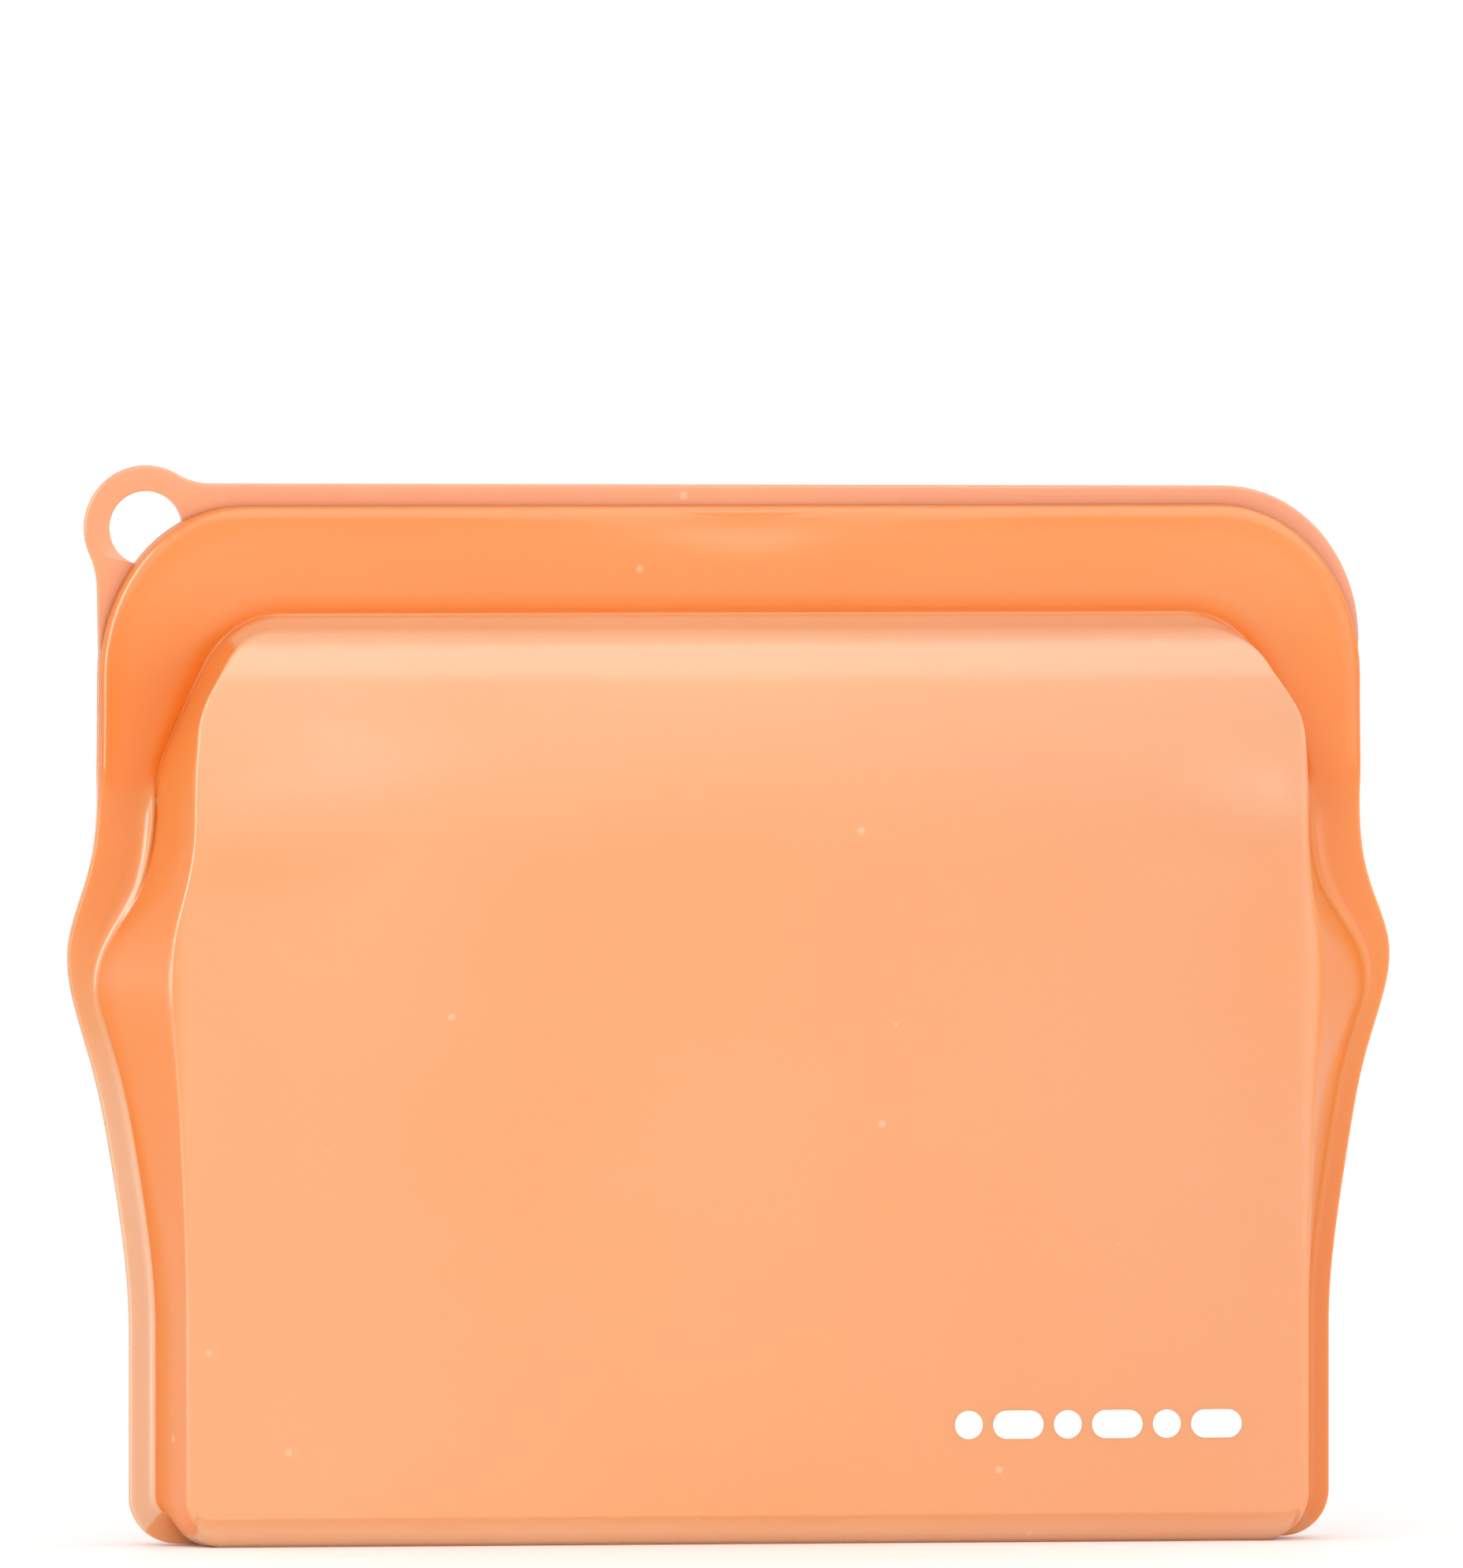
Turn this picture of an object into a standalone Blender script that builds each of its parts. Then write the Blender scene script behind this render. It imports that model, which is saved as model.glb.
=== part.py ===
"""Reusable silicone storage bag: two moulded half shells, a press seal, a pull rim and a hanging loop.

Metres, +Z up. X runs across the bag, Y through it, and the front faces -Y.
The origin is on the surface that the bag stands on, under its middle.
"""

import math

import bmesh
import bpy
from mathutils import Matrix

# Overall sizes
MOUTH_WIDTH = 0.1908        # across the two seal bands
BASE_TAPER = 0.0093         # how much narrower the bag is at its base
LIP_HEIGHT = 0.1541         # top edge of the front lip
RIM_RISE = 0.0033           # how far the pull rim stands above the lips
PANEL_DEPTH = 0.0150        # from the middle plane to the edge of a panel
PANEL_CROWN = 0.0010        # extra depth in the middle of a panel
PANEL_INSET = 0.0028        # from a side wall's root to the panel's edge
BASE_ROUND = 0.0045         # rounded lower edge of the panels

# Silicone walls and seams
WALL = 0.0010
SEAM_THICKNESS = 0.0022
SEAM_WIDTH = 0.0036         # side seams
BASE_SEAM_HEIGHT = 0.0042   # bottom seam, which stands in the recess under the base
SEAM_FOOT = 0.0003          # the bottom seam ends this far above the surface
CORNER_RADIUS = 0.0070      # bottom corners of the seam

# Ears, the bulges where the side seams end under the seal
EAR_REACH = 0.0046          # how far an ear stands out
EAR_DROP = 0.0280           # ear below the ends of the seal legs
EAR_SPREAD_DOWN = 0.0140
EAR_SPREAD_UP = 0.0117
EAR_SEAM = 0.0056           # extra seam width over the ear
EAR_PANEL = 0.0019          # how far the panel's edge follows the ear
EAR_BELOW = 0.0053          # the seam starts to widen this far below the ear
EAR_ABOVE = 0.0127          # and has its full ear width this far above it
SEAL_ABOVE = 0.0367         # and the width of a seal leg this far above it
FLARE_START = 0.37          # the sides flare out between these shares of the ear's height
FLARE_STOP = 0.89

# Press seal, an upside-down U in each lip
BAND_WIDTH = 0.0159         # across the top
LEG_WIDTH = 0.0132
LEG_LENGTH = 0.0229         # from the band's lower edge to the end of a leg
BAND_THICKNESS = 0.0029
LIP_GAP = 0.0006            # between the two closed lips
LIP_CORNER_X = 0.0215       # the lips' elliptical outer corners
LIP_CORNER_Z = 0.0255
BAND_CORNER = 0.0130        # inner corners of the U
RIB_WIDTH = 0.0016
RIB_HEIGHT = 0.0016
RIB_FOOT = 0.0015           # the rib stops this far above the ends of the legs
TRACK_CLEARANCE = 0.0006    # round the rib, on both sides and at its tip
TRACK_OVERRUN = 0.0020      # the track's cutter runs this far past the ends of the legs

# Lips
SHOULDER_HEIGHT = 0.0110    # rounded shoulder under the seal
SHOULDER_CORNER = 0.0100    # corner radius where the shoulder meets the panel
CREASE_HALF = 0.0035        # half the height of the flexing crease under the lips
CREASE_DROP = 0.0038        # hinge line below the ends of the seal legs
HINGE_INSET = 0.0080        # hinge line behind the panel's edge

# Hanging loop
LOOP_RADIUS = 0.0093
LOOP_HOLE_RADIUS = 0.0055
LOOP_THICKNESS = 0.0014
LOOP_OFFSET = 0.0027        # centre of the loop beyond its bending line
LOOP_ROOM = 0.0008          # feet of the loop beyond the bending line
LOOP_SINK = 0.0005          # bending line inside the lip's corner
LOOP_ANGLE = 126.0          # where the loop sits on the lip's corner, in degrees
RIM_THICKNESS = 0.0012
RIM_SIDE = 0.0007           # width of the rim round the right corner

# Printed mark, low on the right of the front
MARK_LENGTH = 0.0457
MARK_HEIGHT = 0.0042
MARK_THICKNESS = 0.0004
MARK_PAIRS = 3              # pairs of one dot and one dash
MARK_SPACE = 0.0015
MARK_LINE = 0.0006          # the thin line through the row
MARK_FROM_SIDE = 0.0060     # from the panel's edge to the mark
MARK_FROM_BASE = 0.0175     # middle of the mark above the surface

GAP = 0.0003                # between pieces that meet

# Sizes and heights that follow from the others
BASE_WIDTH = MOUTH_WIDTH - BASE_TAPER
BAND_LOW = LIP_HEIGHT - BAND_WIDTH
LEG_END = BAND_LOW - LEG_LENGTH
HINGE_HEIGHT = LEG_END - CREASE_DROP
EAR_HEIGHT = LEG_END - EAR_DROP
CREASE_LOW = HINGE_HEIGHT - CREASE_HALF
CREASE_HIGH = HINGE_HEIGHT + CREASE_HALF
EAR_START = EAR_HEIGHT - EAR_BELOW
EAR_END = EAR_HEIGHT + EAR_ABOVE
SEAL_START = EAR_HEIGHT + SEAL_ABOVE
FLARE_LOW = FLARE_START * EAR_HEIGHT
FLARE_HIGH = FLARE_STOP * EAR_HEIGHT
HINGE_DEPTH = PANEL_DEPTH - HINGE_INSET

# Meshes
COLUMNS = 24
SHELL_ROWS = 21
LIP_ROWS = 9
CREASE_ROWS = 2
SHOULDER_STEPS = 6
SEAM_ROWS = 18
CORNER_STEPS = 5            # round a bottom corner
BASE_STEPS = 8              # along the bottom seam
LIP_ARC_STEPS = 8
LIP_RUN_STEPS = 10
LEG_STEPS = 2
LOOP_STEPS = 20
DOT_STEPS = 4
ARC_STEPS = 3               # grid steps over half a corner

SILICONE = (0.92, 0.46, 0.19)
SEAL_SILICONE = (0.95, 0.36, 0.12)
RIM_SILICONE = (0.88, 0.44, 0.24)
MARK_INK = (0.95, 0.95, 0.93)


def clear_scene():
    for thing in list(bpy.data.objects):
        bpy.data.objects.remove(thing, do_unlink=True)


def collection(name):
    made = bpy.data.collections.new(name)
    bpy.context.scene.collection.children.link(made)
    return made


def silicone(name, color, roughness=0.45):
    material = bpy.data.materials.new(name)
    material.use_nodes = True
    shader = material.node_tree.nodes["Principled BSDF"]
    shader.inputs["Base Color"].default_value = (*color, 1.0)
    shader.inputs["Roughness"].default_value = roughness
    shader.inputs["Metallic"].default_value = 0.0
    return material


def ramp(value, low, high):
    """0 below low, 1 above high and smooth between."""
    share = min(max((value - low) / (high - low), 0.0), 1.0)
    return share * share * (3.0 - 2.0 * share)


def mix(low, high, share):
    return low + (high - low) * share


def ear(z):
    spread = EAR_SPREAD_DOWN if z < EAR_HEIGHT else EAR_SPREAD_UP
    return math.exp(-(((z - EAR_HEIGHT) / spread) ** 2))


def seam_edge(z):
    """Half width of the bag at its outer seam edge."""
    flare = (MOUTH_WIDTH - BASE_WIDTH) / 2 * ramp(z, FLARE_LOW, FLARE_HIGH)
    return BASE_WIDTH / 2 + flare + EAR_REACH * ear(z)


def wall_root(z):
    """Half width where a shell's side wall leaves the seam."""
    over_ear = EAR_SEAM * ramp(z, EAR_START, EAR_END)
    over_leg = (LEG_WIDTH - SEAM_WIDTH - EAR_SEAM) * ramp(z, EAR_END, SEAL_START)
    return seam_edge(z) - SEAM_WIDTH - over_ear - over_leg


def panel_edge(z):
    """Half width of the flat panel."""
    straight = BASE_WIDTH / 2 - SEAM_WIDTH - PANEL_INSET
    top = MOUTH_WIDTH / 2 - LEG_WIDTH - GAP
    return mix(straight, top, ramp(z, EAR_END, LEG_END)) + EAR_PANEL * ear(z)


def crown(x, z):
    across = 1.0 - min(abs(x) / panel_edge(z), 1.0) ** 2
    along = math.sin(math.pi * min(max(z / BAND_LOW, 0.0), 1.0))
    return PANEL_CROWN * across * along


# Rings of a half shell from the seam to the panel: share of the depth, share of the side inset,
# height of the base over the surface, corner radius
ROOT_HEIGHT = BASE_SEAM_HEIGHT + GAP
ROOT_CORNER = CORNER_RADIUS - SEAM_WIDTH
SHELL_RINGS = [
    (0.015, 0.00, ROOT_HEIGHT, ROOT_CORNER),
    (0.107, 0.00, ROOT_HEIGHT, ROOT_CORNER),
    (0.210, 0.10, 0.45 * ROOT_HEIGHT, 0.0055),
    (0.330, 0.18, 0.0, CORNER_RADIUS),
    (0.720, 0.50, 0.0, CORNER_RADIUS),
    (0.910, 0.78, 0.27 * BASE_ROUND, 0.0055),
    (1.000, 1.20, BASE_ROUND, 0.0040),
]


def shoulder_rings():
    """Rings of a lip from the seal to the panel, as a quarter of an ellipse."""
    start = (LIP_GAP / 2 + BAND_THICKNESS / 2) / PANEL_DEPTH
    rings = []
    for step in range(SHOULDER_STEPS):
        angle = math.radians(90.0 * step / (SHOULDER_STEPS - 1))
        inward = 1.0 - math.cos(angle)
        rings.append((
            mix(start, 1.0, math.sin(angle)),
            inward,
            BAND_LOW - GAP - SHOULDER_HEIGHT * inward,
            mix(BAND_CORNER, SHOULDER_CORNER, inward),
        ))
    return rings


def side_x(ring, z):
    root = wall_root(z)
    if z >= CREASE_HIGH:
        root = min(root, MOUTH_WIDTH / 2 - LEG_WIDTH)
    return mix(root - GAP, panel_edge(z), ring[1])


def ring_point(ring, upward, open_z, steps, segments, along_side):
    """x and z on the left half of one ring: along its side from the corner, or along its end."""
    _, _, end_z, radius = ring
    corner_z = end_z + upward * radius
    corner_x = side_x(ring, corner_z) - radius
    if steps <= ARC_STEPS:
        turn = math.radians(45.0) * steps / ARC_STEPS
        angle = math.radians(45.0) + (turn if along_side else -turn)
        return -(corner_x + radius * math.sin(angle)), corner_z - upward * radius * math.cos(angle)
    share = (steps - ARC_STEPS) / (segments - ARC_STEPS)
    if along_side:
        z = mix(corner_z, open_z, share)
        return -side_x(ring, z), z
    return -corner_x * (1.0 - share), end_z


def tray_point(rings, upward, open_z, rows, row, column):
    """x, depth and z of one point of a tray-shaped sheet that is open at one end."""
    mirrored = column > COLUMNS / 2
    left = COLUMNS - column if mirrored else column
    last = len(rings) - 1
    level = min(row, left, last)
    ring = rings[level]
    if row == level or left == level:
        along_side = left == level and row > level
        steps = row - level if along_side else left - level
        segments = rows - level if along_side else COLUMNS / 2 - level
        x, z = ring_point(ring, upward, open_z, steps, segments, along_side)
    else:
        across = (left - last) / (COLUMNS / 2 - last)
        along = (row - last) / (rows - last)
        edge = ring_point(ring, upward, open_z, row - last, rows - last, True)
        end = ring_point(ring, upward, open_z, left - last, COLUMNS / 2 - last, False)
        corner = ring_point(ring, upward, open_z, 0, rows - last, True)
        far = -side_x(ring, open_z) * (1.0 - across)
        x = edge[0] * (1.0 - across) + mix(end[0], far, along)
        x -= mix(corner[0] * (1.0 - across), far, along)
        z = mix(edge[1], mix(end[1], open_z, along) + edge[1] - mix(corner[1], open_z, along), across)
    return (-x if mirrored else x), ring[0] * PANEL_DEPTH, z


def finish_mesh(name, bm, material, group, smooth=True):
    bmesh.ops.recalc_face_normals(bm, faces=bm.faces)
    mesh = bpy.data.meshes.new(name)
    bm.to_mesh(mesh)
    bm.free()
    mesh.materials.append(material)
    if smooth:
        mesh.shade_smooth()
    thing = bpy.data.objects.new(name, mesh)
    group.objects.link(thing)
    return thing


def thicken(thing, thickness, offset):
    solid = thing.modifiers.new("Wall", "SOLIDIFY")
    solid.thickness = thickness
    solid.offset = offset
    solid.use_even_offset = True
    return solid


def grid_sheet(columns, rows, place):
    """A grid whose points are moved to place(column, row)."""
    bm = bmesh.new()
    bmesh.ops.create_grid(bm, x_segments=columns, y_segments=rows, size=1.0)
    for vert in bm.verts:
        column = round((vert.co.x + 1.0) / 2.0 * columns)
        row = round((vert.co.y + 1.0) / 2.0 * rows)
        vert.co = place(column, row)
    return bm


def tray(name, side, rings, upward, open_z, rows, material, group):
    """A shell or lip panel on the front (side -1) or back (side 1)."""
    def place(column, row):
        x, depth, z = tray_point(rings, upward, open_z, rows, row, column)
        depth += crown(x, z) if depth >= PANEL_DEPTH * 0.999 else 0.0
        return x, side * depth, z

    bm = grid_sheet(COLUMNS, rows, place)
    thing = finish_mesh(name, bm, material, group)
    outward = sum((face.normal.y for face in thing.data.polygons)) * side > 0
    thicken(thing, WALL, -1.0 if outward else 1.0)
    return thing


def crease(name, side, material, group):
    """The flexing strip of wall between a shell and its lip."""
    rings = SHELL_RINGS
    last = len(rings) - 1

    def place(column, row):
        z = mix(CREASE_LOW + GAP, CREASE_HIGH - GAP, row / CREASE_ROWS)
        left = min(column, COLUMNS - column)
        level = min(left, last)
        across = max(left - last, 0) / (COLUMNS / 2 - last)
        x = side_x(rings[level], z) * (1.0 - across)
        depth = rings[level][0] * PANEL_DEPTH
        depth += crown(x, z) if level == last else 0.0
        return (-x if column < COLUMNS / 2 else x), side * depth, z

    bm = grid_sheet(COLUMNS, CREASE_ROWS, place)
    thing = finish_mesh(name, bm, material, group)
    outward = sum((face.normal.y for face in thing.data.polygons)) * side > 0
    thicken(thing, WALL, -1.0 if outward else 1.0)
    return thing


def strip(name, outer, inner, low_y, high_y, material, group):
    """A flat strip between two paths in the XZ plane."""
    middle = (low_y + high_y) / 2

    def place(column, row):
        x, z = (outer if row else inner)[column]
        return x, middle, z

    bm = grid_sheet(len(outer) - 1, 1, place)
    thing = finish_mesh(name, bm, material, group, smooth=False)
    thicken(thing, high_y - low_y, 0.0)
    return thing


def arc(center, radius_x, radius_z, start, stop, steps):
    """Points from angle start to stop, in degrees, counter-clockwise from +X."""
    points = []
    for step in range(steps + 1):
        angle = math.radians(mix(start, stop, step / steps))
        x = center[0] + radius_x * math.cos(angle)
        points.append((x, center[1] + radius_z * math.sin(angle)))
    return points


def u_path(half, foot_z, top_z, corner_x, corner_z):
    """An upside-down U from the left foot over the top to the right foot."""
    center_z = top_z - corner_z
    left = [(-half, mix(foot_z, center_z, step / LEG_STEPS)) for step in range(LEG_STEPS)]
    left += arc((-half + corner_x, center_z), corner_x, corner_z, 180, 90, LIP_ARC_STEPS)
    run = half - corner_x
    top = [(mix(-run, run, step / LIP_RUN_STEPS), top_z) for step in range(1, LIP_RUN_STEPS)]
    return left + top + [(-x, z) for x, z in reversed(left)]


def between(first, second, share):
    return [(mix(a[0], b[0], share), mix(a[1], b[1], share)) for a, b in zip(first, second)]


def add_seams(material, group):
    """The bonded edges of the two half shells: left, right and bottom."""
    start = CORNER_RADIUS + GAP
    for name, sign in (("left_seam", -1), ("right_seam", 1)):
        heights = [mix(start, LEG_END - GAP, step / SEAM_ROWS) for step in range(SEAM_ROWS + 1)]
        outer = [(sign * seam_edge(z), z) for z in heights]
        inner = [(sign * (wall_root(z) + GAP), z) for z in heights]
        strip(name, outer, inner, -SEAM_THICKNESS / 2, SEAM_THICKNESS / 2, material, group)
    reach = BASE_WIDTH / 2 - CORNER_RADIUS
    paths = []
    for radius, low in ((CORNER_RADIUS, SEAM_FOOT), (ROOT_CORNER, BASE_SEAM_HEIGHT)):
        left = arc((-reach, low + radius), radius, radius, 180, 270, CORNER_STEPS)
        run = [(mix(-reach, reach, step / BASE_STEPS), low) for step in range(1, BASE_STEPS)]
        left[0] = (left[0][0], CORNER_RADIUS)
        paths.append(left + run + [(-x, z) for x, z in reversed(left)])
    strip("bottom_seam", *paths, -SEAM_THICKNESS / 2, SEAM_THICKNESS / 2, material, group)


def seal_paths():
    """Outer and inner edges of a seal band."""
    outer = u_path(MOUTH_WIDTH / 2, LEG_END, LIP_HEIGHT, LIP_CORNER_X, LIP_CORNER_Z)
    inner = u_path(MOUTH_WIDTH / 2 - LEG_WIDTH, LEG_END, BAND_LOW, BAND_CORNER, BAND_CORNER)
    return outer, inner


def track_paths(outer, inner, width, overrun):
    """Edges of a strip along the middle of a seal band that runs past the ends of its legs."""
    middle = between(outer, inner, 0.5)
    edges = ([], [])
    for index, (x, z) in enumerate(middle):
        before = middle[max(index - 1, 0)]
        after = middle[min(index + 1, len(middle) - 1)]
        step_x, step_z = after[0] - before[0], after[1] - before[1]
        length = math.hypot(step_x, step_z)
        normal = (-step_z / length, step_x / length)
        for edge, sign in zip(edges, (0.5, -0.5)):
            edge.append((x + sign * width * normal[0], z + sign * width * normal[1]))
    for edge in edges:
        for index in (0, -1):
            edge[index] = (edge[index][0], edge[index][1] - overrun)
    return edges


def add_seal(material, group, cutters):
    """Front band with the track, back band and the rib that presses into the track."""
    outer, inner = seal_paths()
    near = LIP_GAP / 2
    far = near + BAND_THICKNESS
    front = strip("front_seal_band", outer, inner, -far, -near, material, group)
    back = strip("back_seal_band", outer, inner, near, far, material, group)
    rib = track_paths(outer, inner, RIB_WIDTH, -RIB_FOOT)
    press_rib = strip("press_rib", *rib, -RIB_HEIGHT, near - GAP, material, group)
    room = RIB_WIDTH + 2 * TRACK_CLEARANCE
    track = track_paths(outer, inner, room, TRACK_OVERRUN)
    cutter = strip("track_cutter", *track, -RIB_HEIGHT - TRACK_CLEARANCE, near, material, cutters)
    cutter.hide_render = True
    cutter.display_type = "WIRE"
    cut = front.modifiers.new("Track", "BOOLEAN")
    cut.operation = "DIFFERENCE"
    cut.solver = "EXACT"
    cut.object = cutter
    return front, back, press_rib


def loop_frame():
    """Middle of the loop's bending line, and unit vectors along it and outwards from it."""
    angle = math.radians(LOOP_ANGLE)
    x = -MOUTH_WIDTH / 2 + LIP_CORNER_X + LIP_CORNER_X * math.cos(angle)
    z = LIP_HEIGHT - LIP_CORNER_Z + LIP_CORNER_Z * math.sin(angle)
    along = (math.sqrt(0.5), math.sqrt(0.5))
    outward = (-math.sqrt(0.5), math.sqrt(0.5))
    return (x - LOOP_SINK * outward[0], z - LOOP_SINK * outward[1]), along, outward


def add_rim(material, group):
    """The pull rim beyond the back band, from the loop over the top and round the right corner."""
    origin, along, _ = loop_frame()
    start = origin[0] + (LOOP_RADIUS - LOOP_ROOM) * along[0]
    half = MOUTH_WIDTH / 2
    inner = u_path(half + GAP, LEG_END, LIP_HEIGHT + GAP, LIP_CORNER_X, LIP_CORNER_Z)
    outer = u_path(half + GAP + RIM_SIDE, LEG_END, LIP_HEIGHT + RIM_RISE, LIP_CORNER_X,
                   LIP_CORNER_Z)
    foot = LIP_HEIGHT - LIP_CORNER_Z
    keep = [index for index, (x, z) in enumerate(inner) if x > -half + LIP_CORNER_X and z > foot]
    outer = [(start, LIP_HEIGHT + RIM_RISE)] + [outer[index] for index in keep]
    inner = [(start, LIP_HEIGHT + GAP)] + [inner[index] for index in keep]
    low = LIP_GAP / 2
    return strip("pull_rim", outer, inner, low, low + RIM_THICKNESS, material, group)


def add_loop(material, group):
    """The hanging loop at the top left corner, on the back lip."""
    origin, along, outward = loop_frame()
    middle_y = LIP_GAP / 2 + RIM_THICKNESS / 2

    def spot(s, p):
        return origin[0] + s * along[0] + p * outward[0], origin[1] + s * along[1] + p * outward[1]

    paths = []
    for radius in (LOOP_RADIUS, LOOP_HOLE_RADIUS):
        low = math.degrees(math.asin((LOOP_ROOM - LOOP_OFFSET) / radius))
        ring = arc((0.0, LOOP_OFFSET), radius, radius, low, 180.0 - low, LOOP_STEPS)
        paths.append([spot(s, p) for s, p in ring])
    half = LOOP_THICKNESS / 2
    return strip("hang_loop", *paths, middle_y - half, middle_y + half, material, group)


def add_mark(material, group):
    """A plain printed row of dots and dashes on a thin line."""
    right = panel_edge(MARK_FROM_BASE) - MARK_FROM_SIDE
    dash = (MARK_LENGTH - MARK_PAIRS * MARK_HEIGHT - (2 * MARK_PAIRS - 1) * MARK_SPACE) / MARK_PAIRS
    radius = MARK_HEIGHT / 2
    left = right - MARK_LENGTH
    profile = []
    for length in [MARK_HEIGHT, dash] * MARK_PAIRS:
        profile += arc((left + radius, 0.0), radius, radius, 180.0, 90.0, DOT_STEPS)
        right_end = arc((left + length - radius, 0.0), radius, radius, 90.0, 0.0, DOT_STEPS)
        profile += right_end[1:] if length == MARK_HEIGHT else right_end
        left += length + MARK_SPACE
    upper = [(x, MARK_FROM_BASE + max(half, MARK_LINE / 2)) for x, half in profile]
    lower = [(x, MARK_FROM_BASE - max(half, MARK_LINE / 2)) for x, half in profile]
    thing = strip("printed_mark", upper, lower, 0.0, MARK_THICKNESS, material, group)
    for vert in thing.data.vertices:
        x, _, z = vert.co
        vert.co.y = -(PANEL_DEPTH + crown(x, z) + GAP + MARK_THICKNESS / 2)


def pivot(name, location, things, group):
    """An empty on a joint's axis, with the pieces that move on it as its children."""
    empty = bpy.data.objects.new(name, None)
    empty.location = location
    empty.empty_display_size = PANEL_DEPTH
    group.objects.link(empty)
    for thing in things:
        thing.parent = empty
        thing.matrix_parent_inverse = Matrix.Translation(location).inverted()
    return empty


def build():
    clear_scene()
    bag = collection("silicone_bag")
    cutters = collection("cutters")
    body = silicone("translucent_silicone", SILICONE)
    seal = silicone("seal_silicone", SEAL_SILICONE)
    rim = silicone("rim_silicone", RIM_SILICONE)
    ink = silicone("white_ink", MARK_INK, 0.6)
    lip_rings = shoulder_rings()
    lips = []
    for word, side in (("front", -1), ("back", 1)):
        tray(f"{word}_shell", side, SHELL_RINGS, 1, CREASE_LOW, SHELL_ROWS, body, bag)
        crease(f"{word}_crease", side, body, bag)
        lips.append(tray(f"{word}_lip_panel", side, lip_rings, -1, CREASE_HIGH, LIP_ROWS, body, bag))
    add_seams(body, bag)
    front_band, back_band, press_rib = add_seal(seal, bag, cutters)
    pull_rim = add_rim(rim, bag)
    hang_loop = add_loop(rim, bag)
    add_mark(ink, bag)
    pivot("front_lip_axis", (0.0, -HINGE_DEPTH, HINGE_HEIGHT), [lips[0], front_band], bag)
    back_pieces = [lips[1], back_band, press_rib, pull_rim]
    pivot("back_lip_axis", (0.0, HINGE_DEPTH, HINGE_HEIGHT), back_pieces, bag)
    origin, _, _ = loop_frame()
    loop_spot = (origin[0], LIP_GAP / 2 + RIM_THICKNESS / 2, origin[1])
    pivot("loop_axis", loop_spot, [hang_loop], bag)


build()
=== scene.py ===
import math

import bmesh
import bpy
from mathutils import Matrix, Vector, noise


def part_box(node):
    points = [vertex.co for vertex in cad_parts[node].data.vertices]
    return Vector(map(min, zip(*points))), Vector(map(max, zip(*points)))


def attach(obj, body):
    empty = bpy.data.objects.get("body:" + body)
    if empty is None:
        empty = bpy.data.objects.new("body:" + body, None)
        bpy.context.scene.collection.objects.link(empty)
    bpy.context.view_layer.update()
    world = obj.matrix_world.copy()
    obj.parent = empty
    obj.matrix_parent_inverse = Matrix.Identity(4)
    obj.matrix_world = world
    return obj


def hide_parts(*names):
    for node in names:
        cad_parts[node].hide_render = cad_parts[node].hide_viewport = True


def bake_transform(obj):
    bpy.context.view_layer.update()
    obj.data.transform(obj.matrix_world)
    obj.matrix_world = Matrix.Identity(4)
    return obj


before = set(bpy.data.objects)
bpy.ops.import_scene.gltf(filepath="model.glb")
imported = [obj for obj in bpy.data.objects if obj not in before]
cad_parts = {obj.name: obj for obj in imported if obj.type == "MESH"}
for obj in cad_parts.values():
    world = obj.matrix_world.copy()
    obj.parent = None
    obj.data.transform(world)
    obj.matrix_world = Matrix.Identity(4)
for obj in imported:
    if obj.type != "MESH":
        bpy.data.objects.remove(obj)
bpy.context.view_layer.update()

bandLow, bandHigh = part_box("front_seal_band")
baseLow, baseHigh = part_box("bottom_seam")


def clamp(value):
    return min(max(value, 0.0), 1.0)


def ramp(value, low, high):
    share = clamp((value - low) / (high - low))
    return share * share * (3.0 - 2.0 * share)


def mix(low, high, share):
    return low + (high - low) * share


def bump(value, middle, spread):
    return math.exp(-(((value - middle) / spread) ** 2))


# the bag's outline from the front, in metres; pairs are left and right or from and to
outline = {
    "mouthHalf": bandHigh[0], "lipTop": bandHigh[2], "legEnd": bandLow[2],
    "lipCorner": (0.0215, 0.0255), "bandInner": 0.1382, "bandCorner": 0.0136,
    "baseHalf": baseHigh[0], "seamFoot": baseLow[2], "baseCorner": 0.0070,
    "flare": (0.0323, 0.0777), "earHeight": 0.0873, "earReach": 0.0046,
    "earUp": (0.0117, 0.0104), "earDown": (0.0140, 0.0128),
    "seamWidth": 0.0036, "baseRoot": 0.0042, "rootCorner": 0.0034,
    "earSeam": 0.0047, "earSeamRise": (0.0800, 0.0990),    # the seam widens at the ear
    "legSeam": 0.0060, "legSeamRise": (0.1120, 0.1310),    # and again beside the seal's leg
}

# one moulded half: depth of the panel, walls, shoulder under the seal and flat base
shell = {
    "depth": 0.0150, "crown": 0.0010, "wall": 0.0010, "seam": 0.00115, "root": 0.0025,
    "bandFoot": 0.0025,
    "panelLow": 0.0843, "panelTop": (0.0826, 0.0842), "panelRise": (0.0900, 0.1060),
    "panelEar": 0.0006, "panelEarUp": 0.0117, "panelEarDown": 0.0260,
    "panelClose": (0.1180, 0.1300), "panelGap": 0.0013,
    "shoulder": 0.0150, "ringDrop": 0.0030, "shoulderCorner": 0.0092, "panelCorner": 0.0026,
    "restFrom": 0.0052, "restTo": 0.0106, "baseRise": 0.0044,
    "neck": (0.1100, 0.0130),    # the left edge thickens below the seal: height and spread
    "sideSteps": 76, "acrossSteps": 60, "arcSteps": 9,
}

# how a wall runs from the seam to the panel, in shares of its way
profile = {
    "bend": 0.78, "bendInset": 0.80, "bendDepth": 0.945, "cornerInset": 0.86, "endInset": 1.20,
    "recess": 0.38, "flat": 0.66,
}

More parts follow.
